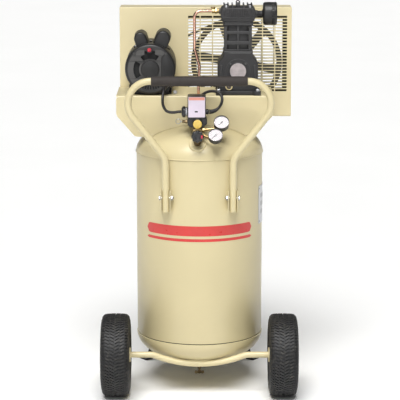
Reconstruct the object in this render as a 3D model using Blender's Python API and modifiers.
"""Upright portable air compressor: a vertical tank on two wheels and two rear feet,
with a belt-driven pump and its motor on a saddle over the top head.

Metres, +Z up. The origin is on the floor under the tank's axis, the front faces -Y.
"""
import math

import bmesh
import bpy
from mathutils import Matrix, Vector

GAP = 0.0003                    # left between pieces that touch

# Tank
TANK_R = 0.203
TANK_WALL = 0.003
HEAD_R = 0.2045                 # the heads stand slightly proud of the shell
HEAD_DEPTH = 0.1015             # two-to-one ellipsoidal heads
SEAM_LOW = 0.175
SEAM_HIGH = 0.770

# Saddle platform
DECK_TOP = 0.957
DECK_WALL = 0.003
DECK_FRONT = -0.080
DECK_REAR = 0.1485
DECK_SKIRT = 0.895              # where the skirt's sides turn into chamfers
DECK_BOTTOM = 0.826

# Handle
HANDLE_R = 0.0111
HANDLE_Y = -0.195
HANDLE_LEG = 0.106
HANDLE_FOOT = 0.606
HANDLE_ELBOW = 0.775
HANDLE_TOP = 1.018
HANDLE_LEAN = math.radians(38)
HANDLE_BOLT_Z = 0.650
GRIP_R = 0.016
GRIP_HALF = 0.150

# Wheels
WHEEL_X = 0.2675
WHEEL_Y = -0.165
WHEEL_R = 0.1325
TYRE_HALF = 0.046
BEAD_R = 0.0535
AXLE_R = 0.0098
FOOT_END = 0.2975               # the feet reach as far back as the tyres reach forward

# Motor
MOTOR_X = -0.156
MOTOR_Z = 1.040
MOTOR_R = 0.0805
MOTOR_FACE = -0.070
SHAFT_R = 0.0079

# Pump
PUMP_X = 0.1225
CRANK_Z = 1.032
BORE_Y = -0.002                 # the cylinder's axis
BORE_R = 0.029
CRANK_THROW = 0.020
ROD_LENGTH = 0.104
CASE_HALF = 0.0645
CASE_FRONT = -0.050
CASE_REAR = 0.075
CASE_TOP = 1.0967
CYLINDER_TOP = 1.1767
HEAD_HALF = 0.0565
HEAD_BASE = 1.1770
CRANK_R = 0.011
FILTER_Z = 1.211

# Belt drive and its guard
BELT_Y = 0.195
FLYWHEEL_R = 0.150
PULLEY_R = 0.034
BELT_DEEP = 0.008
GUARD_X = (-0.261, 0.302)
GUARD_Z = (0.859, 1.218)
GUARD_Y = (0.150, 0.250)
GUARD_WALL = 0.0015
GRILLE_X = (-0.037, 0.287)
GRILLE_Z = (0.942, 1.190)
GRILLE_ROWS = 25
SLOT_HIGH = 0.0054
REAR_ROWS = 23                  # the rear cover's grille is a little smaller than the front's
REAR_RIGHT = 0.276

# Controls on the front of the upper head
COLUMN_X = -0.006
BUNG_Y = -0.180
REGULATOR_Z = 0.850
GAUGE_TILT = math.radians(40)
GAUGE_DEEP = 0.022
CORD_R = 0.0045

X_AXIS = Vector((1, 0, 0))
Y_AXIS = Vector((0, 1, 0))
Z_AXIS = Vector((0, 0, 1))


# ---------------------------------------------------------------- scene and materials

def clear_scene():
    for old in list(bpy.data.objects):
        bpy.data.objects.remove(old)


def collection(name):
    made = bpy.data.collections.new(name)
    bpy.context.scene.collection.children.link(made)
    return made


def material(name, colour, roughness, metallic=0.0):
    made = bpy.data.materials.new(name)
    made.use_nodes = True
    shader = made.node_tree.nodes["Principled BSDF"]
    shader.inputs["Base Color"].default_value = (*colour, 1.0)
    shader.inputs["Roughness"].default_value = roughness
    shader.inputs["Metallic"].default_value = metallic
    return made


clear_scene()
PARTS = collection("air_compressor")
CUTTERS = collection("cutters")

CREAM = material("cream_paint", (0.68, 0.58, 0.35), 0.35)
BLACK = material("black_paint", (0.035, 0.033, 0.032), 0.45)
CAST = material("cast_iron_paint", (0.030, 0.029, 0.028), 0.6)
RUBBER = material("black_rubber", (0.02, 0.02, 0.02), 0.8)
GRIP = material("grip_foam", (0.045, 0.036, 0.036), 0.75)
STEEL = material("bright_steel", (0.60, 0.60, 0.62), 0.3, 1.0)
BRASS = material("brass", (0.75, 0.58, 0.30), 0.3, 1.0)
COPPER = material("copper", (0.72, 0.42, 0.28), 0.3, 1.0)
YELLOW = material("yellow_plastic", (0.85, 0.68, 0.20), 0.4)
RED = material("red_plastic", (0.65, 0.03, 0.05), 0.4)
ALLOY = material("cast_aluminium", (0.55, 0.55, 0.55), 0.45, 1.0)


# ---------------------------------------------------------------- making solids

def new_object(name, data, mat, spot=(0, 0, 0)):
    made = bpy.data.objects.new(name, data)
    made.location = spot
    data.materials.append(mat)
    PARTS.objects.link(made)
    return made


def smooth(thing, angle=35):
    thing.data.shade_smooth()
    thing.data.set_sharp_from_angle(angle=math.radians(angle))
    return thing


def bevel(thing, width, segments=2):
    edge = thing.modifiers.new("edges", "BEVEL")
    edge.width = width
    edge.segments = segments
    edge.limit_method = "ANGLE"
    edge.angle_limit = math.radians(40)
    return thing


def box(name, low, high, mat, rounding=0.0):
    """A block between two corners."""
    middle = (Vector(low) + Vector(high)) / 2
    size = Vector(high) - Vector(low)
    shape = bmesh.new()
    bmesh.ops.create_cube(shape, size=1.0, matrix=Matrix.Diagonal((*size, 1.0)))
    mesh = bpy.data.meshes.new(name)
    shape.to_mesh(mesh)
    shape.free()
    made = new_object(name, mesh, mat, middle)
    if rounding:
        bevel(made, rounding)
    return made


def cylinder(name, start, end, radius, mat, sides=32, end_radius=None):
    """A round bar from start to end."""
    start = Vector(start)
    end = Vector(end)
    shape = bmesh.new()
    bmesh.ops.create_cone(shape, cap_ends=True, segments=sides, radius1=radius,
                          radius2=radius if end_radius is None else end_radius,
                          depth=(end - start).length)
    mesh = bpy.data.meshes.new(name)
    shape.to_mesh(mesh)
    shape.free()
    made = new_object(name, mesh, mat, (start + end) / 2)
    made.rotation_mode = "QUATERNION"
    made.rotation_quaternion = Z_AXIS.rotation_difference(end - start)
    return smooth(made)


def turned(name, profile, mat, centre, axis=Z_AXIS, steps=32, ring=False):
    """A profile of (radius, height) turned round the axis, listed down its outer side.

    A ring's profile is a closed loop that stays off the axis.
    """
    shape = bmesh.new()
    points = [shape.verts.new((radius, 0.0, height)) for radius, height in profile]
    for a, b in zip(points, points[1:]):
        shape.edges.new((a, b))
    if ring:
        shape.edges.new((points[-1], points[0]))
    mesh = bpy.data.meshes.new(name)
    shape.to_mesh(mesh)
    shape.free()
    made = new_object(name, mesh, mat, centre)
    made.rotation_mode = "QUATERNION"
    made.rotation_quaternion = Z_AXIS.rotation_difference(Vector(axis))
    screw = made.modifiers.new("turn", "SCREW")
    screw.steps = steps
    screw.render_steps = steps
    screw.use_merge_vertices = True
    screw.merge_threshold = 0.00002
    screw.use_smooth_shade = True
    return made


def curve_data(name, points, cyclic=False):
    data = bpy.data.curves.new(name, "CURVE")
    line = data.splines.new("POLY")
    line.points.add(len(points) - 1)
    for knot, spot in zip(line.points, points):
        knot.co = (*spot, 1.0)
    line.use_cyclic_u = cyclic
    return data


def tube(name, points, radius, mat, resolution=2):
    """A round tube or cord along points."""
    data = curve_data(name, [tuple(p) for p in points])
    data.dimensions = "3D"
    data.bevel_depth = radius
    data.bevel_resolution = resolution
    data.use_fill_caps = True
    return new_object(name, data, mat)


PLANES = {
    "XY": Matrix(((1, 0, 0, 0), (0, 1, 0, 0), (0, 0, 1, 0), (0, 0, 0, 1))),
    "XZ": Matrix(((1, 0, 0, 0), (0, 0, -1, 0), (0, 1, 0, 0), (0, 0, 0, 1))),
    "YZ": Matrix(((0, 0, 1, 0), (1, 0, 0, 0), (0, 1, 0, 0), (0, 0, 0, 1))),
}
NORMALS = {"XY": Z_AXIS, "XZ": Y_AXIS, "YZ": X_AXIS}


def plate(name, plane, outline, low, high, mat, holes=()):
    """A flat outline given a thickness from low to high along the plane's normal."""
    data = curve_data(name, [(u, v, 0.0) for u, v in outline], cyclic=True)
    for hole in holes:
        line = data.splines.new("POLY")
        line.points.add(len(hole) - 1)
        for knot, (u, v) in zip(line.points, hole):
            knot.co = (u, v, 0.0, 1.0)
        line.use_cyclic_u = True
    data.dimensions = "2D"
    data.fill_mode = "BOTH"
    data.extrude = (high - low) / 2
    made = new_object(name, data, mat)
    shift = Matrix.Translation(NORMALS[plane] * (low + high) / 2)
    made.matrix_world = shift @ PLANES[plane]
    return made


def as_mesh(thing):
    """The evaluated object as a plain mesh in world coordinates, caps welded."""
    bpy.context.view_layer.update()
    graph = bpy.context.evaluated_depsgraph_get()
    mesh = bpy.data.meshes.new_from_object(thing.evaluated_get(graph))
    shape = bmesh.new()
    shape.from_mesh(mesh)
    shape.transform(thing.matrix_world)
    bmesh.ops.remove_doubles(shape, verts=shape.verts, dist=0.00001)
    shape.to_mesh(mesh)
    shape.free()
    name = thing.name
    mat = thing.data.materials[0]
    bpy.data.objects.remove(thing)
    mesh.materials.clear()
    made = bpy.data.objects.new(name, mesh)
    made.name = name
    mesh.materials.append(mat)
    PARTS.objects.link(made)
    return made


def bodies(name, pieces, mat):
    """Several solids that don't touch, as one object."""
    together = bmesh.new()
    for piece in pieces:
        solid = as_mesh(piece)
        together.from_mesh(solid.data)
        bpy.data.objects.remove(solid)
    mesh = bpy.data.meshes.new(name)
    together.to_mesh(mesh)
    together.free()
    return smooth(new_object(name, mesh, mat))


def boolean(target, tool, operation):
    if tool.type == "CURVE":
        tool = as_mesh(tool)
    PARTS.objects.unlink(tool)
    CUTTERS.objects.link(tool)
    tool.hide_render = True
    tool.display_type = "WIRE"
    step = target.modifiers.new(operation.lower(), "BOOLEAN")
    step.object = tool
    step.operation = operation
    step.solver = "EXACT"
    return target


def cut(target, *tools):
    for tool in tools:
        boolean(target, tool, "DIFFERENCE")
    return target


def join(target, *tools):
    for tool in tools:
        boolean(target, tool, "UNION")
    return target


# ---------------------------------------------------------------- outlines and routes

def arc(centre, radius, start, end, count):
    """Points on a circle between two angles in degrees."""
    for i in range(count + 1):
        angle = math.radians(start + (end - start) * i / count)
        yield (centre[0] + radius * math.cos(angle), centre[1] + radius * math.sin(angle))


def circle(centre, radius, count=24):
    return list(arc(centre, radius, 0, 360, count))[:-1]


def rectangle(low, high):
    return [low, (high[0], low[1]), high, (low[0], high[1])]


def filleted(points, radius, count=6):
    """A route with each inner corner rounded to the radius."""
    points = [Vector(p) for p in points]
    route = [points[0]]
    for before, corner, after in zip(points, points[1:], points[2:]):
        into = (corner - before).normalized()
        out = (after - corner).normalized()
        turn = into.angle(out)
        back = radius * math.tan(turn / 2)
        centre = corner + (out - into).normalized() * (radius / math.cos(turn / 2))
        spoke = corner - into * back - centre
        axis = into.cross(out).normalized()
        for i in range(count + 1):
            route.append(centre + Matrix.Rotation(turn * i / count, 3, axis) @ spoke)
    route.append(points[-1])
    return route


def smooth_route(points, count):
    """Evenly spaced points along a smooth curve through the points."""
    points = [Vector(p) for p in points]
    ends = [points[0] * 2 - points[1]] + points + [points[-1] * 2 - points[-2]]
    fine = []
    for a, b, c, d in zip(ends, ends[1:], ends[2:], ends[3:]):
        for i in range(12):
            t = i / 12
            fine.append(0.5 * (2 * b + (c - a) * t + (2 * a - 5 * b + 4 * c - d) * t * t
                               + (3 * b - a - 3 * c + d) * t ** 3))
    fine.append(points[-1])
    lengths = [0.0]
    for a, b in zip(fine, fine[1:]):
        lengths.append(lengths[-1] + (b - a).length)
    route = []
    seek = 0
    for i in range(count):
        want = lengths[-1] * i / (count - 1)
        while seek < len(fine) - 2 and lengths[seek + 1] < want:
            seek += 1
        share = (want - lengths[seek]) / (lengths[seek + 1] - lengths[seek])
        route.append(fine[seek].lerp(fine[seek + 1], min(share, 1.0)))
    return route


def dome_profile(radius, depth, seam, sign, count=5):
    """Half an ellipse from the axis out to the seam, as (radius, height)."""
    for i in range(count + 1):
        angle = math.pi / 2 * i / count
        yield (radius * math.sin(angle), seam + sign * depth * math.cos(angle))


# ---------------------------------------------------------------- tank

BUNG_SPOT = Vector((COLUMN_X, BUNG_Y, SEAM_HIGH + HEAD_DEPTH
                    * math.sqrt(1 - (BUNG_Y / HEAD_R) ** 2)))
BUNG_AXIS = Vector((0, BUNG_Y / HEAD_R ** 2,
                    (BUNG_SPOT.z - SEAM_HIGH) / HEAD_DEPTH ** 2)).normalized()
CHECK_X = -0.003
CHECK_Y = -0.024


def make_tank():
    turned("tank_shell", [(TANK_R, SEAM_HIGH - GAP), (TANK_R, SEAM_LOW + GAP),
                          (TANK_R - TANK_WALL, SEAM_LOW + GAP),
                          (TANK_R - TANK_WALL, SEAM_HIGH - GAP)],
           CREAM, (0, 0, 0), steps=36, ring=True)

    inner = HEAD_R - TANK_WALL
    outside = list(dome_profile(HEAD_R, HEAD_DEPTH, SEAM_HIGH, 1))
    inside = list(dome_profile(inner, HEAD_DEPTH - TANK_WALL, SEAM_HIGH, 1, 4))
    top = turned("tank_top_head", outside + inside[::-1], CREAM, (0, 0, 0), steps=36)
    front = cylinder("front_bung", BUNG_SPOT - BUNG_AXIS * 0.012,
                     BUNG_SPOT + BUNG_AXIS * 0.005, 0.026, CREAM)
    check = cylinder("check_bung", (CHECK_X, CHECK_Y, 0.858), (CHECK_X, CHECK_Y, 0.878),
                     0.018, CREAM, sides=24)
    front_hole = cylinder("front_bore", BUNG_SPOT - BUNG_AXIS * 0.03,
                          BUNG_SPOT + BUNG_AXIS * 0.02, 0.0112, CREAM, sides=24)
    check_hole = cylinder("check_bore", (CHECK_X, CHECK_Y, 0.850),
                          (CHECK_X, CHECK_Y, 0.890), 0.0112, CREAM, sides=24)
    join(top, front, check)
    cut(top, front_hole, check_hole)

    outside = list(dome_profile(HEAD_R, HEAD_DEPTH, SEAM_LOW, -1))
    inside = list(dome_profile(inner, HEAD_DEPTH - TANK_WALL, SEAM_LOW, -1, 4))
    bottom = turned("tank_bottom_head", inside + outside[::-1], CREAM, (0, 0, 0), steps=36)
    low = SEAM_LOW - HEAD_DEPTH
    join(bottom, cylinder("drain_bung", (0, 0, low - 0.010), (0, 0, low + 0.010),
                          0.013, CREAM, sides=24))
    cut(bottom, cylinder("drain_bore", (0, 0, low - 0.02), (0, 0, low + 0.02),
                         0.0062, CREAM, sides=24))

    near = TANK_R + GAP
    outline = list(arc((0, 0), near + 0.0035, -22, 22, 12))
    outline += list(arc((0, 0), near, 22, -22, 12))
    plate("data_plate", "XY", outline, 0.542, 0.665, STEEL)


def make_drain():
    low = SEAM_LOW - HEAD_DEPTH - 0.010
    turned("drain_valve", [(0, low + 0.016), (0.0058, low + 0.016), (0.0058, low - GAP),
                           (0.0095, low - GAP), (0.0095, low - 0.010),
                           (0.0065, low - 0.012), (0.0065, 0.038), (0, 0.038)],
           BRASS, (0, 0, 0), steps=16)
    hub = cylinder("drain_wing", (0, 0, 0.022), (0, 0, 0.0377), 0.005, BRASS, sides=16)
    join(hub, box("wing_blade", (-0.016, -0.0015, 0.020), (0.016, 0.0015, 0.032), BRASS))


# ---------------------------------------------------------------- saddle platform

MOTOR_BOLTS = [(MOTOR_X + dx, y) for dx in (-0.052, 0.052) for y in (-0.020, 0.085)]
PUMP_BOLTS = [(x, y) for x in (0.0605, 0.1845) for y in (-0.064, 0.089)]
BOLT_R = 0.0035
BOLT_HOLE = 0.0042
FRONT_CORD_HOLE = (-0.0235, 0.910)
REAR_CORD_HOLE = (-0.094, 0.842)


def make_platform():
    outline = [(-0.264, DECK_TOP), (-0.264, DECK_SKIRT), (-0.204, DECK_BOTTOM),
               (0.168, DECK_BOTTOM), (0.235, DECK_SKIRT), (0.235, DECK_TOP)]
    deck = as_mesh(plate("platform", "XZ", outline, DECK_FRONT, DECK_REAR, CREAM))
    inside = box("deck_inside", (-0.3, DECK_FRONT + DECK_WALL, 0.7),
                 (0.3, DECK_REAR - DECK_WALL, DECK_TOP - DECK_WALL), CREAM)
    dome = list(dome_profile(HEAD_R + GAP, HEAD_DEPTH + GAP, SEAM_HIGH, 1))
    dome_tool = turned("dome_tool", dome + [(HEAD_R + GAP, 0.72), (0, 0.72)], CREAM,
                       (0, 0, 0), steps=36)
    slot = box("tube_slot", (-0.0345, CHECK_Y - 0.0065, 0.9), (0.0045, CHECK_Y + 0.0065, 1.0),
               CREAM)
    front_hole = plate("front_cord_hole", "XZ",
                       [(FRONT_CORD_HOLE[0] + 0.5 * (u - FRONT_CORD_HOLE[0]), v)
                        for u, v in circle(FRONT_CORD_HOLE, 0.0165, 20)],
                       DECK_FRONT - 0.01, DECK_FRONT + 0.01, CREAM)
    rear_hole = plate("rear_cord_hole", "XZ", circle(REAR_CORD_HOLE, 0.0085, 20),
                      DECK_REAR - 0.01, DECK_REAR + 0.01, CREAM)
    bolt_holes = bodies("deck_bolt_holes",
                        [cylinder("hole", (x, y, 0.94), (x, y, 0.97), BOLT_HOLE, CREAM, 12)
                         for x, y in MOTOR_BOLTS + PUMP_BOLTS], CREAM)
    cut(deck, inside, dome_tool, slot, front_hole, rear_hole, bolt_holes)


def make_rear_legs():
    """Bent flat bars from the lower shell out to the floor behind."""
    lean = math.radians(54)
    thick = 0.005
    half = 0.015
    reach = (FOOT_END - half * math.cos(lean)) / math.sin(lean)
    near = TANK_R + 0.002
    outline = [(near, 0.235), (near, 0.185), (0.2905, 0.0), (reach, 0.0), (reach, thick),
               (0.2940, thick), (near + thick, 0.1862), (near + thick, 0.235)]
    for word, turn in (("right", lean), ("left", math.pi - lean)):
        leg = plate("rear_leg_" + word, "XZ", outline, -half, half, BLACK)
        leg.matrix_world = Matrix.Rotation(turn, 4, "Z") @ leg.matrix_world


# ---------------------------------------------------------------- handle

def make_handle():
    across = (HANDLE_TOP - HANDLE_ELBOW) * math.tan(HANDLE_LEAN)
    corner = HANDLE_LEG + across
    leg = [(HANDLE_LEG, HANDLE_Y, HANDLE_FOOT), (HANDLE_LEG, HANDLE_Y, HANDLE_ELBOW)]
    lower = filleted(leg + [(corner - 0.08, HANDLE_Y, HANDLE_TOP - 0.08 / math.tan(HANDLE_LEAN))],
                     0.06)[:-1]
    upper = filleted([lower[-1], (corner, HANDLE_Y, HANDLE_TOP), (0, HANDLE_Y, HANDLE_TOP)],
                     0.07, 10)[1:-1]
    right = lower + upper
    left = [Vector((-p.x, p.y, p.z)) for p in reversed(right)]
    handle = as_mesh(tube("handle_tube", right + left, HANDLE_R, CREAM, 2))
    smooth(handle)
    cut(handle, bodies("handle_bolt_holes",
                       [cylinder("hole", (side * HANDLE_LEG - 0.02, HANDLE_Y, HANDLE_BOLT_Z),
                                 (side * HANDLE_LEG + 0.02, HANDLE_Y, HANDLE_BOLT_Z),
                                 BOLT_HOLE, CREAM, 12) for side in (-1, 1)], CREAM))

    turned("handle_grip", [(GRIP_R - 0.002, GRIP_HALF), (GRIP_R, GRIP_HALF - 0.002),
                           (GRIP_R, -GRIP_HALF + 0.002), (GRIP_R - 0.002, -GRIP_HALF),
                           (HANDLE_R + 0.0004, -GRIP_HALF), (HANDLE_R + 0.0004, GRIP_HALF)],
           GRIP, (0, HANDLE_Y, HANDLE_TOP), X_AXIS, steps=24, ring=True)

    for side, word in ((-1, "left"), (1, "right")):
        middle = side * HANDLE_LEG
        half = 0.0155
        outer = box("handle_bracket_" + word, (middle - half, HANDLE_Y - 0.013, HANDLE_FOOT),
                    (middle + half, -0.150, HANDLE_FOOT + 0.067), CREAM)
        wall = 0.003
        cut(outer,
            box("channel", (middle - half + wall, HANDLE_Y - 0.05, 0.5),
                (middle + half - wall, HANDLE_Y + HANDLE_R + 0.001, 0.8), CREAM),
            cylinder("tank_tool", (0, 0, 0.5), (0, 0, 0.8), TANK_R + GAP, CREAM, 96),
            cylinder("bolt_tool", (middle - 0.03, HANDLE_Y, HANDLE_BOLT_Z),
                     (middle + 0.03, HANDLE_Y, HANDLE_BOLT_Z), BOLT_HOLE, CREAM, 12))
        make_handle_bolt(side, word, half)


def make_handle_bolt(side, word, half):
    """A hex bolt through the bracket and the tube, with its nut run up on the inner side."""
    shank = BOLT_R
    head = 0.0075
    outer = half + GAP
    profile = [(0, outer + 0.0055), (head, outer + 0.0055), (head, outer), (shank, outer),
               (shank, -outer), (head, -outer), (head, -outer - 0.006), (shank, -outer - 0.006),
               (shank, -outer - 0.010), (0, -outer - 0.010)]
    turned("handle_bolt_" + word, profile, STEEL, (side * HANDLE_LEG, HANDLE_Y, HANDLE_BOLT_Z),
           X_AXIS * side, steps=6)


# ---------------------------------------------------------------- wheels and axle

def make_wheel(side, word):
    centre = (side * WHEEL_X, WHEEL_Y, WHEEL_R)
    tread = [(WHEEL_R, -0.030), (0.1275, -0.040), (0.112, -TYRE_HALF), (0.090, -TYRE_HALF),
             (0.066, -0.040), (BEAD_R + GAP, -0.034)]
    hollow = [(0.072, -0.034), (0.100, -0.040), (0.1225, -0.028)]
    outer = [(r, -h) for r, h in tread[::-1]] + tread
    inner = hollow + [(r, -h) for r, h in hollow[::-1]]
    turned("tyre_" + word, outer + inner, RUBBER, centre, X_AXIS, steps=28, ring=True)

    bore = AXLE_R + 0.0004
    hub_in = -0.042 * side
    hub_out = 0.033 * side
    low, high = sorted((hub_in, hub_out))
    profile = [(BEAD_R, 0.035), (BEAD_R, -0.035), (0.0505, -0.035), (0.0505, -0.004),
               (0.019, -0.004), (0.019, low), (bore, low), (bore, high), (0.019, high),
               (0.019, 0.004), (0.0505, 0.004), (0.0505, 0.035)]
    turned("rim_" + word, profile, ALLOY, centre, X_AXIS, steps=24, ring=True)


def make_axle():
    end = 0.3045
    drop = 0.1025
    half = [(0.0, drop), (0.060, drop), (0.150, WHEEL_R), (end, WHEEL_R)]
    right = filleted([(x, WHEEL_Y, z) for x, z in half], 0.08, 5)[1:]
    left = [Vector((-p.x, p.y, p.z)) for p in reversed(right)]
    axle = as_mesh(tube("axle", left + right, AXLE_R, CREAM, 2))
    smooth(axle)
    for side in (-1, 1):
        join(axle, cylinder("collar", (side * 0.2205, WHEEL_Y, WHEEL_R),
                            (side * 0.2250, WHEEL_Y, WHEEL_R), 0.023, CREAM, 24))
        join(axle, cylinder("end_cap", (side * 0.3009, WHEEL_Y, WHEEL_R),
                            (side * 0.3062, WHEEL_Y, WHEEL_R), 0.0135, CREAM, 20, 0.012))


# ---------------------------------------------------------------- motor

def make_motor():
    axis_spot = (MOTOR_X, 0, MOTOR_Z)
    wall = 0.003
    front = -0.045
    rear = 0.105
    back = 0.130
    inner = MOTOR_R - wall
    turned("motor_shell", [(MOTOR_R, rear), (MOTOR_R, front), (inner, front), (inner, rear)],
           BLACK, axis_spot, Y_AXIS, steps=28, ring=True)
    bell = turned("motor_front_bell",
                  [(0, MOTOR_FACE + wall), (0.0735, MOTOR_FACE + wall), (inner, front - GAP),
                   (MOTOR_R, front - GAP), (MOTOR_R, MOTOR_FACE + 0.007),
                   (0.0755, MOTOR_FACE), (0.0285, MOTOR_FACE), (0.0265, MOTOR_FACE - 0.0055),
                   (0, MOTOR_FACE - 0.0055)], BLACK, axis_spot, Y_AXIS, steps=28)
    button_hole = cylinder("button_hole", (-0.158, MOTOR_FACE - 0.01, 1.102),
                           (-0.158, MOTOR_FACE + 0.01, 1.102), 0.0072, BLACK, 20)
    vents = bodies("vent_tools", [
        box("left", (MOTOR_X - 0.060, MOTOR_FACE - 0.01, MOTOR_Z - 0.026),
            (MOTOR_X - 0.040, MOTOR_FACE + 0.01, MOTOR_Z + 0.026), BLACK),
        box("low", (MOTOR_X - 0.030, MOTOR_FACE - 0.01, MOTOR_Z - 0.062),
            (MOTOR_X + 0.030, MOTOR_FACE + 0.01, MOTOR_Z - 0.050), BLACK)], BLACK)
    gland = turned("motor_gland", [(0, MOTOR_FACE + 0.001), (0.0085, MOTOR_FACE + 0.001),
                                   (0.0085, -0.082), (0.0065, -0.0880), (0, -0.0880)],
                   BLACK, (MOTOR_GLAND.x, 0, MOTOR_GLAND.z), Y_AXIS, steps=20)
    join(bell, terminal_cover(), gland)
    cut(bell, button_hole, vents)
    turned("motor_rear_bell",
           [(0.026, back + 0.005), (0.026, back), (0.0755, back), (MOTOR_R, back - 0.006),
            (MOTOR_R, rear + GAP), (inner, rear + GAP), (0.0735, back - wall),
            (SHAFT_R + 0.0007, back - wall), (SHAFT_R + 0.0007, back + 0.005)],
           BLACK, axis_spot, Y_AXIS, steps=28, ring=True)
    turned("motor_stator", [(inner - GAP, 0.078), (inner - GAP, -0.018), (0.046, -0.018),
                            (0.046, 0.078)], STEEL, axis_spot, Y_AXIS, steps=28, ring=True)
    turned("motor_rotor", [(0, 0.2125), (SHAFT_R, 0.2125), (SHAFT_R, 0.078), (0.044, 0.078),
                           (0.044, -0.018), (SHAFT_R, -0.018), (SHAFT_R, -0.058),
                           (0, -0.058)], STEEL, axis_spot, Y_AXIS, steps=24)
    groove = PULLEY_R - 0.009
    turned("motor_pulley",
           [(PULLEY_R, BELT_Y + 0.012), (PULLEY_R, BELT_Y + 0.0055), (groove, BELT_Y + 0.005),
            (groove, BELT_Y - 0.005), (PULLEY_R, BELT_Y - 0.0055), (PULLEY_R, BELT_Y - 0.012),
            (SHAFT_R + GAP, BELT_Y - 0.012), (SHAFT_R + GAP, BELT_Y + 0.012)],
           ALLOY, axis_spot, Y_AXIS, steps=20, ring=True)

    cylinder("reset_button", (-0.158, MOTOR_FACE - 0.008, 1.102),
             (-0.158, MOTOR_FACE + 0.010, 1.102), 0.0065, RED, 20)
    make_capacitor_covers()
    make_motor_base()


def terminal_cover():
    """The raised cover over the terminals, on the right of the front bell."""
    edge = MOTOR_R - 0.006
    outline = list(arc((MOTOR_X, MOTOR_Z), edge, -30, 28, 10))
    inside_x = MOTOR_X + 0.034
    outline += [(inside_x, outline[-1][1]), (inside_x, outline[0][1])]
    return plate("terminal_cover", "XZ", outline, MOTOR_FACE - 0.004, MOTOR_FACE + 0.001, BLACK)


def make_capacitor_covers():
    """Two round-topped covers that stand on the motor's shell."""
    for word, lean, width, height in (("start", math.radians(18.6), 0.042, 0.120),
                                      ("run", math.radians(-23), 0.049, 0.128)):
        half = width / 2
        outline = [(half, 0.05)] + list(arc((0, height - half), half, 0, 180, 10))
        outline += [(-half, 0.05)]
        cover = plate(word + "_capacitor_cover", "XZ", outline, -0.040, 0.070, BLACK)
        place = Matrix.Translation((MOTOR_X, 0, MOTOR_Z)) @ Matrix.Rotation(-lean, 4, "Y")
        cover.matrix_world = place @ cover.matrix_world
        cover = as_mesh(cover)
        bevel(cover, 0.008, 3)
        cut(cover, cylinder("shell_tool", (MOTOR_X, -0.1, MOTOR_Z), (MOTOR_X, 0.2, MOTOR_Z),
                            MOTOR_R + GAP, BLACK, 64))


def make_motor_base():
    low = DECK_TOP + GAP
    wide = 0.068
    outline = [(MOTOR_X - wide, low), (MOTOR_X + wide, low), (MOTOR_X + wide, 0.986),
               (MOTOR_X + wide - 0.003, 0.986), (MOTOR_X + wide - 0.003, low + 0.0019),
               (MOTOR_X - wide + 0.003, low + 0.0019), (MOTOR_X - wide + 0.003, 0.986),
               (MOTOR_X - wide, 0.986)]
    base = as_mesh(plate("motor_base", "XZ", outline, -0.035, 0.100, BLACK))
    cut(base, bodies("base_holes", [cylinder("hole", (x, y, 0.94), (x, y, 0.97), BOLT_HOLE,
                                             BLACK, 12) for x, y in MOTOR_BOLTS], BLACK))


# ---------------------------------------------------------------- pump

def make_crankcase():
    half = CASE_HALF
    outline = [(-half, 0.960), (half, 0.960), (half, 1.075), (0.045, CASE_TOP),
               (-0.045, CASE_TOP), (-half, 1.075)]
    outline = [(PUMP_X + x, z) for x, z in outline]
    case = as_mesh(plate("crankcase", "XZ", outline, CASE_FRONT, CASE_REAR, CAST))
    flange = box("base_flange", (0.052, -0.076, DECK_TOP + GAP), (0.195, 0.101, 0.970), CAST)
    join(case, flange)
    wall = 0.0065
    cavity = box("crank_room", (PUMP_X - half + wall, CASE_FRONT + wall, 0.980),
                 (PUMP_X + half - wall, CASE_REAR - wall, 1.070), CAST)
    mouth = cylinder("cylinder_mouth", (PUMP_X, BORE_Y, 1.05), (PUMP_X, BORE_Y, 1.12),
                     0.032, CAST, 32)
    front_hole = cylinder("front_hole", (PUMP_X, -0.07, CRANK_Z), (PUMP_X, -0.03, CRANK_Z),
                          0.040, CAST, 32)
    rear_hole = cylinder("rear_hole", (PUMP_X, 0.06, CRANK_Z), (PUMP_X, 0.09, CRANK_Z),
                         CRANK_R + 0.0006, CAST, 32)
    bolt_holes = bodies("case_holes", [cylinder("hole", (x, y, 0.94), (x, y, 0.98), BOLT_HOLE,
                                                CAST, 12) for x, y in PUMP_BOLTS], CAST)
    cut(case, cavity, mouth, front_hole, rear_hole, bolt_holes)

    turned("crankcase_cover",
           [(0.0, CASE_FRONT + 0.0065), (0.0395, CASE_FRONT + 0.0065), (0.0395, CASE_FRONT),
            (0.026, CASE_FRONT), (0.026, CASE_FRONT - 0.0022), (0.0, CASE_FRONT - 0.0022)],
           CAST, (PUMP_X, 0, CRANK_Z), Y_AXIS, steps=32)
    turned("sight_glass",
           [(0.0, CASE_FRONT - GAP), (0.0115, CASE_FRONT - GAP), (0.0115, CASE_FRONT - 0.005),
            (0.0085, CASE_FRONT - 0.006), (0.0080, CASE_FRONT - 0.004),
            (0.0, CASE_FRONT - 0.004)],
           YELLOW, (0.094, 0, 0.983), Y_AXIS, steps=20)


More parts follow.
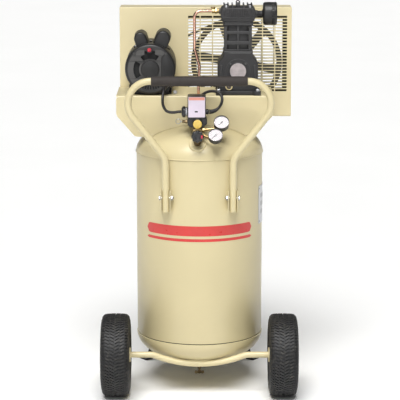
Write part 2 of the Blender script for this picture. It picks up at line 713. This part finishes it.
def make_cylinder_and_head():
    core = 0.038
    fin = 0.0455
    low = CASE_TOP + GAP
    square = math.sqrt(2)
    rise = (CYLINDER_TOP - low) / 4
    profile = [(0, CYLINDER_TOP)]
    for i in range(4):
        top = CYLINDER_TOP - i * rise
        profile += [(fin * square, top), (fin * square, top - 0.006),
                    (core * square, top - 0.007), (core * square, top - rise + 0.001)]
    profile += [(fin * square, low + 0.006), (fin * square, low), (0, low)]
    barrel = turned("cylinder", profile, CAST, (PUMP_X, BORE_Y, 0), steps=4)
    barrel.rotation_quaternion = Matrix.Rotation(math.radians(45), 3, "Z").to_quaternion()
    barrel.modifiers["turn"].use_smooth_shade = False
    cut(barrel, cylinder("bore", (PUMP_X, BORE_Y, 1.05), (PUMP_X, BORE_Y, 1.2), BORE_R,
                         CAST, 48))

    deck = 1.231
    fin_top = 1.243
    boss_top = 1.255
    fins = [(-0.044, 0.003), (-0.031, 0.003), (-0.018, 0.003), (0.0, 0.014), (0.018, 0.003),
            (0.031, 0.003), (0.044, 0.003)]
    outline = [(-HEAD_HALF, HEAD_BASE), (HEAD_HALF, HEAD_BASE), (HEAD_HALF, 1.222),
               (HEAD_HALF - 0.009, deck)]
    for middle, wide in reversed(fins):
        outline += [(middle + wide / 2, deck), (middle + wide / 2, fin_top),
                    (middle - wide / 2, fin_top), (middle - wide / 2, deck)]
    outline += [(-HEAD_HALF + 0.009, deck), (-HEAD_HALF, 1.222)]
    outline = [(PUMP_X + x, z) for x, z in outline]
    head = as_mesh(plate("pump_head", "XZ", outline, BORE_Y - 0.0565, BORE_Y + 0.0565, CAST))
    neck = cylinder("intake_neck", (PUMP_X + HEAD_HALF - 0.004, BORE_Y, FILTER_Z),
                    (0.1990, BORE_Y, FILTER_Z), 0.009, CAST, 20)
    rooms = bodies("head_rooms", [
        box("room", (PUMP_X + x - 0.0175, BORE_Y - 0.038, 1.17),
            (PUMP_X + x + 0.0175, BORE_Y + 0.038, 1.212), CAST) for x in (-0.0215, 0.0215)], CAST)
    boss = box("lifting_boss", (PUMP_X - 0.007, BORE_Y - 0.012, deck),
               (PUMP_X + 0.007, BORE_Y + 0.012, boss_top), CAST)
    join(head, neck, boss)
    cut(head, rooms)

    turned("air_filter", [(0, 0.2470), (0.034, 0.2470), (0.037, 0.2440), (0.037, 0.2030),
                          (0.034, 0.1995), (0, 0.1995)],
           BLACK, (0, BORE_Y, FILTER_Z), X_AXIS, steps=28)


def make_crank_and_piston():
    centre = (PUMP_X, 0, CRANK_Z)
    web_front = 0.0103
    turned("crankshaft", [(0, 0.2155), (CRANK_R, 0.2155), (CRANK_R, web_front + 0.012),
                          (0.036, web_front + 0.012), (0.036, web_front), (0, web_front)],
           STEEL, centre, Y_AXIS, steps=32)

    pin_z = CRANK_Z - CRANK_THROW
    wrist_z = pin_z + ROD_LENGTH
    big = 0.016
    small = 0.011
    outline = list(arc((PUMP_X, pin_z), big, 115, 425, 16))
    outline += list(arc((PUMP_X, wrist_z), small, -50, 230, 12))
    rod = as_mesh(plate("connecting_rod", "XZ", outline, BORE_Y - 0.008, BORE_Y + 0.008, ALLOY))
    join(rod, cylinder("crankpin", (PUMP_X, -0.014, pin_z), (PUMP_X, 0.0098, pin_z),
                       0.0085, STEEL, 20),
         cylinder("wrist_pin", (PUMP_X, BORE_Y - 0.025, wrist_z),
                  (PUMP_X, BORE_Y + 0.025, wrist_z), 0.006, STEEL, 16))

    bottom = wrist_z - 0.015
    crown = bottom + 0.034
    outer = BORE_R - 0.0004
    land = outer - 0.0015
    profile = [(0, crown - 0.006), (0.022, crown - 0.006), (0.0235, bottom)]
    profile = [(0, crown), (outer, crown), (outer, crown - 0.004), (land, crown - 0.004),
               (land, crown - 0.006), (outer, crown - 0.006), (outer, bottom)] + profile[::-1]
    piston = turned("piston", profile, ALLOY, (PUMP_X, BORE_Y, 0), steps=24)
    cut(piston, cylinder("pin_bore", (PUMP_X, BORE_Y - 0.04, wrist_z),
                         (PUMP_X, BORE_Y + 0.04, wrist_z), 0.0064, ALLOY, 16))


# ---------------------------------------------------------------- belt drive and guard

def belt_loop(radius_a, radius_b, count):
    """An open belt's outline round the motor pulley and the flywheel."""
    a = Vector((MOTOR_X, MOTOR_Z))
    b = Vector((PUMP_X, CRANK_Z))
    along = math.atan2(b.y - a.y, b.x - a.x)
    lean = math.acos((radius_a - radius_b) / (b - a).length)
    start = math.degrees(along + lean)
    end = math.degrees(along - lean)
    loop = list(arc(a, radius_a, start, end + 360, count // 2))
    loop += list(arc(b, radius_b, end, start, count))
    return loop


def make_belt_and_flywheel():
    outer = belt_loop(PULLEY_R + 0.0002, FLYWHEEL_R - 0.0007, 28)
    inner = belt_loop(PULLEY_R + 0.0002 - BELT_DEEP, FLYWHEEL_R - 0.0007 - BELT_DEEP, 28)
    plate("drive_belt", "XZ", outer, BELT_Y - 0.004, BELT_Y + 0.004, RUBBER, holes=[inner])

    centre = (PUMP_X, 0, CRANK_Z)
    groove = FLYWHEEL_R - 0.0095
    inner_r = 0.1345
    wheel = turned("flywheel",
                   [(FLYWHEEL_R, BELT_Y + 0.013), (FLYWHEEL_R, BELT_Y + 0.0055),
                    (groove, BELT_Y + 0.005), (groove, BELT_Y - 0.005),
                    (FLYWHEEL_R, BELT_Y - 0.0055), (FLYWHEEL_R, BELT_Y - 0.013),
                    (inner_r, BELT_Y - 0.013), (inner_r, BELT_Y + 0.013)],
                   CAST, centre, Y_AXIS, steps=32, ring=True)
    spokes = 6
    windows = []
    for i in range(spokes):
        middle = 360 * i / spokes + 20
        window = list(arc((PUMP_X, CRANK_Z), 0.1320, middle - 19.5, middle + 19.5, 4))
        window += list(arc((PUMP_X, CRANK_Z), 0.047, middle + 11.5, middle - 11.5, 1))
        windows.append(window)
    windows.append(circle((PUMP_X, CRANK_Z), 0.020, 16))
    web = plate("flywheel_web", "XZ", circle((PUMP_X, CRANK_Z), 0.1380, 24), BELT_Y - 0.004,
                BELT_Y + 0.004, CAST, holes=windows)
    hub = turned("flywheel_hub", [(0.027, BELT_Y + 0.017), (0.027, BELT_Y - 0.017),
                                  (CRANK_R + GAP, BELT_Y - 0.017),
                                  (CRANK_R + GAP, BELT_Y + 0.017)],
                 CAST, centre, Y_AXIS, steps=24, ring=True)
    join(wheel, web, hub)


def grille_slots(rows, right):
    pitch = (GRILLE_Z[1] - GRILLE_Z[0]) / (GRILLE_ROWS - 1 + SLOT_HIGH / 0.010)
    for i in range(rows):
        low = GRILLE_Z[0] + i * pitch
        yield rectangle((GRILLE_X[0], low), (right, low + SLOT_HIGH))


def make_guard():
    front_low, front_high = GUARD_Y[0], GUARD_Y[0] + GUARD_WALL
    panel = as_mesh(plate("guard_front", "XZ", rectangle((GUARD_X[0], GUARD_Z[0]),
                                                         (GUARD_X[1], GUARD_Z[1])),
                          front_low, front_high, CREAM, holes=list(grille_slots(GRILLE_ROWS, GRILLE_X[1]))))
    cut(panel, bodies("shaft_holes", [
        cylinder("hole", (PUMP_X, 0.14, CRANK_Z), (PUMP_X, 0.16, CRANK_Z), 0.018, CREAM, 24),
        cylinder("hole", (MOTOR_X, 0.14, MOTOR_Z), (MOTOR_X, 0.16, MOTOR_Z), 0.018, CREAM, 24)],
        CREAM))

    back_low = GUARD_Y[1] - GUARD_WALL
    cover = as_mesh(plate("guard_rear", "XZ", rectangle((GUARD_X[0], GUARD_Z[0]),
                                                        (GUARD_X[1], GUARD_Z[1])),
                          back_low, GUARD_Y[1], CREAM, holes=list(grille_slots(REAR_ROWS, REAR_RIGHT))))
    wall = plate("guard_wall", "XZ",
                 rectangle((GUARD_X[0], GUARD_Z[0]), (GUARD_X[1], GUARD_Z[1])),
                 front_high + GAP, back_low + 0.0005, CREAM,
                 holes=[rectangle((GUARD_X[0] + GUARD_WALL, GUARD_Z[0] + GUARD_WALL),
                                  (GUARD_X[1] - GUARD_WALL, GUARD_Z[1] - GUARD_WALL))])
    join(cover, wall)


# ---------------------------------------------------------------- air line and controls

def make_air_line():
    route = filleted([(0.0388, BORE_Y, 1.219), (-0.0157, -0.010, 1.219),
                      (-0.0157, -0.016, 1.100), (0.0000, CHECK_Y, 1.046),
                      (CHECK_X, CHECK_Y, 0.975), (CHECK_X, CHECK_Y, 0.9105)], 0.020, 5)
    tube("discharge_tube", route, 0.00475, COPPER, 2)
    turned("head_elbow", [(0, 0.0657), (0.0085, 0.0657), (0.0085, 0.0560), (0.0100, 0.0550),
                             (0.0100, 0.0470), (0.0080, 0.0460), (0.0080, 0.0398),
                             (0, 0.0398)], BRASS, (0, BORE_Y, 1.219), X_AXIS, steps=16)
    turned("check_valve", [(0, 0.9100), (0.0085, 0.9100), (0.0095, 0.8980), (0.0150, 0.8970),
                             (0.0150, 0.8784), (0.0104, 0.8783), (0.0104, 0.8620),
                             (0, 0.8620)], BRASS, (CHECK_X, CHECK_Y, 0), steps=24)


GAUGE_AXIS = Vector((0, -math.cos(GAUGE_TILT), math.sin(GAUGE_TILT)))
GAUGES = {"upper": (Vector((0.0687, -0.200, 0.8922)), 0.0240),
          "lower": (Vector((0.0499, -0.235, 0.8572)), 0.0228)}


def make_manifold():
    block = box("manifold", (COLUMN_X - 0.015, -0.189, 0.844), (COLUMN_X + 0.015, -0.161, 0.868),
                BRASS)
    nipple = cylinder("nipple", BUNG_SPOT - BUNG_AXIS * 0.010, BUNG_SPOT + BUNG_AXIS * 0.030,
                      0.0105, BRASS, 20)
    post = cylinder("post", (COLUMN_X, -0.169, 0.860), (COLUMN_X, -0.169, 0.8700), 0.008,
                    BRASS, 16)
    join(block, nipple, post)
    starts = {"upper": (COLUMN_X + 0.012, -0.176, 0.862),
              "lower": (COLUMN_X + 0.012, -0.183, 0.850)}
    for word, (face, _) in GAUGES.items():
        back = face - GAUGE_AXIS * GAUGE_DEEP
        join(block, tube("gauge_stem", filleted([starts[word], back - GAUGE_AXIS * 0.016,
                                                 back - GAUGE_AXIS * GAP], 0.008, 4),
                         0.005, BRASS))
    join(block, turned("regulator_body",
                       [(0, -0.186), (0.0115, -0.186), (0.0115, -0.194), (0.0160, -0.196),
                        (0.0160, -0.214), (0, -0.214)],
                       BRASS, (COLUMN_X, 0, REGULATOR_Z), Y_AXIS, steps=24))


def make_gauges():
    for word, (face, radius) in GAUGES.items():
        turned("gauge_case_" + word,
               [(0, -0.006), (radius - 0.0025, -0.006), (radius - 0.0025, 0.0),
                (radius, 0.0), (radius, -GAUGE_DEEP), (0, -GAUGE_DEEP)],
               BLACK, face, GAUGE_AXIS, steps=32)
        make_needle(word, face, radius)


def make_needle(word, face, radius):
    """A needle that rests at the stop near the dial's lower left."""
    rest = math.radians(-45)
    long = radius - 0.007
    outline = [(-0.0016, -0.005), (0.0016, -0.005), (0.0004, long), (-0.0004, long)]
    needle = as_mesh(plate("needle_" + word, "XY", outline, -0.0004, 0.0004, BLACK))
    upright = Vector((0, math.sin(GAUGE_TILT), math.cos(GAUGE_TILT)))
    turn = Matrix((X_AXIS, upright, GAUGE_AXIS)).transposed().to_4x4()
    spin = Matrix.Rotation(math.pi + rest, 4, "Z")
    middle = face - GAUGE_AXIS * 0.0042
    needle.data.transform(turn @ spin)
    needle.location = middle


def make_switch():
    box("switch_base", (-0.037, -0.178, 0.8703), (0.024, -0.105, 0.8965), BLACK, 0.003)
    cover = box("switch_cover", (-0.037, -0.180, 0.8970), (0.020, -0.115, 0.968), BLACK, 0.003)
    gland_spot = (0, -0.150, 0.9165)
    join(cover,
         turned("left_gland", [(0, -0.0360), (0.012, -0.0360), (0.012, -0.0435),
                               (0.0175, -0.0445), (0.0175, -0.0525), (0.013, -0.0560),
                               (0, -0.0560)], BLACK, gland_spot, X_AXIS, steps=24),
         turned("right_gland", [(0, 0.0300), (0.0065, 0.0300), (0.0085, 0.0270),
                                (0.0085, 0.0190), (0, 0.0190)],
                BLACK, gland_spot, X_AXIS, steps=20))
    knob_z = 0.8825
    turned("switch_knob", [(0, -0.1783), (0.012, -0.1783), (0.014, -0.180), (0.014, -0.194),
                           (0.012, -0.197), (0, -0.197)],
           YELLOW, (COLUMN_X, 0, knob_z), Y_AXIS, steps=24)

    turned("regulator_knob", [(0, -0.2143), (0.0175, -0.2143), (0.0195, -0.217),
                              (0.0195, -0.234), (0.0165, -0.238), (0, -0.238)],
           BLACK, (COLUMN_X, 0, REGULATOR_Z), Y_AXIS, steps=24)

    valve = (0, -0.150, 0.886)
    turned("safety_valve", [(0, -0.0373), (0.0062, -0.0373), (0.0062, -0.044),
                            (0.0050, -0.045), (0.0050, -0.054), (0, -0.054)],
           BRASS, valve, X_AXIS, steps=16)
    stem = cylinder("safety_ring", (-0.0543, valve[1], valve[2]), (-0.0600, valve[1], valve[2]),
                    0.0018, STEEL, 12)
    bpy.ops.mesh.primitive_torus_add(location=(-0.0665, valve[1], valve[2]),
                                     rotation=(math.pi / 2, 0, 0), major_radius=0.0075,
                                     minor_radius=0.0011, major_segments=16, minor_segments=6)
    loop = bpy.context.object
    loop.name = "pull_loop"
    loop.data.materials.append(STEEL)
    for holder in list(loop.users_collection):
        holder.objects.unlink(loop)
    PARTS.objects.link(loop)
    join(stem, loop)


# ---------------------------------------------------------------- cords

MOTOR_GLAND = Vector((-0.110, MOTOR_FACE, 0.985))

MOTOR_CORD = [(-0.0566, -0.150, 0.9165), (-0.066, -0.150, 0.9163), (-0.080, -0.150, 0.9143),
              (-0.094, -0.149, 0.9150),
              (-0.106, -0.146, 0.921), (-0.1145, -0.140, 0.938), (-0.1155, -0.130, 0.958),
              (-0.1135, -0.116, 0.975), (-0.111, -0.102, 0.9838), (-0.110, -0.0886, 0.985)]

SUPPLY_CORD = [(0.0308, -0.150, 0.9165), (0.038, -0.150, 0.9167),
               (0.049, -0.148, 0.9200), (0.061, -0.144, 0.928),
               (0.0705, -0.134, 0.9445), (0.0695, -0.121, 0.962), (0.054, -0.109, 0.974),
               (0.030, -0.101, 0.974), (0.008, -0.096, 0.962), (-0.009, -0.0945, 0.942),
               (-0.019, -0.089, 0.920), (-0.027, -0.073, 0.9005), (-0.036, -0.048, 0.884),
               (-0.047, -0.012, 0.877), (-0.060, 0.030, 0.874), (-0.076, 0.075, 0.8645),
               (-0.088, 0.115, 0.852), (-0.094, 0.147, 0.842), (-0.096, 0.172, 0.826),
               (-0.0965, 0.188, 0.796), (-0.096, 0.193, 0.750), (-0.095, 0.194, 0.600),
               (-0.095, 0.194, 0.450), (-0.095, 0.194, 0.300), (-0.096, 0.194, 0.150),
               (-0.094, 0.193, 0.085), (-0.083, 0.190, 0.038), (-0.058, 0.184, 0.011),
               (-0.022, 0.176, 0.0052)]
COIL_CENTRE = (0.022, 0.222)
COIL_R = 0.050
COIL_TURNS = 1.5
CORD_POINTS = 68


def supply_route():
    """The supply cord's route, with its last stretch wound on the floor behind the tank."""
    route = list(SUPPLY_CORD)
    steps = 18
    for i in range(steps + 1):
        turn = COIL_TURNS * i / steps
        angle = math.radians(-90) + 2 * math.pi * turn
        lift = min(max((turn - 0.72) / 0.28, 0.0), 1.0)
        height = 0.0048 + 0.0098 * lift * lift * (3 - 2 * lift)
        route.append((COIL_CENTRE[0] + COIL_R * math.cos(angle),
                      COIL_CENTRE[1] + COIL_R * math.sin(angle), height))
    route += [(0.004, 0.2725, 0.0135), (-0.014, 0.2735, 0.0125)]
    return route


def make_cords():
    tube("motor_cord", smooth_route(MOTOR_CORD, 14), CORD_R, RUBBER)
    straight = [Vector(SUPPLY_CORD[0])]
    route = straight + smooth_route(supply_route()[1:], CORD_POINTS)
    tube("supply_cord", route, CORD_R, RUBBER)

    spot = Vector((-0.0143, 0.2735, 0.0125))
    body = box("plug", spot + Vector((-0.042, -0.0125, -0.0125)), spot + Vector((0, 0.0125, 0.0125)),
               RUBBER, 0.004)
    blades = [box("blade", spot + Vector((-0.060, y - 0.0008, -0.0035)),
                  spot + Vector((-0.040, y + 0.0008, 0.0035)), STEEL) for y in (-0.006, 0.006)]
    earth = cylinder("earth_pin", spot + Vector((-0.062, 0, -0.0080)),
                     spot + Vector((-0.040, 0, -0.0080)), 0.0024, STEEL, 12)
    join(body, *blades, earth)


def main():
    make_tank()
    make_drain()
    make_platform()
    make_rear_legs()
    make_handle()
    make_wheel(-1, "left")
    make_wheel(1, "right")
    make_axle()
    make_motor()
    make_crankcase()
    make_cylinder_and_head()
    make_crank_and_piston()
    make_belt_and_flywheel()
    make_guard()
    make_air_line()
    make_manifold()
    make_gauges()
    make_switch()
    make_cords()


main()
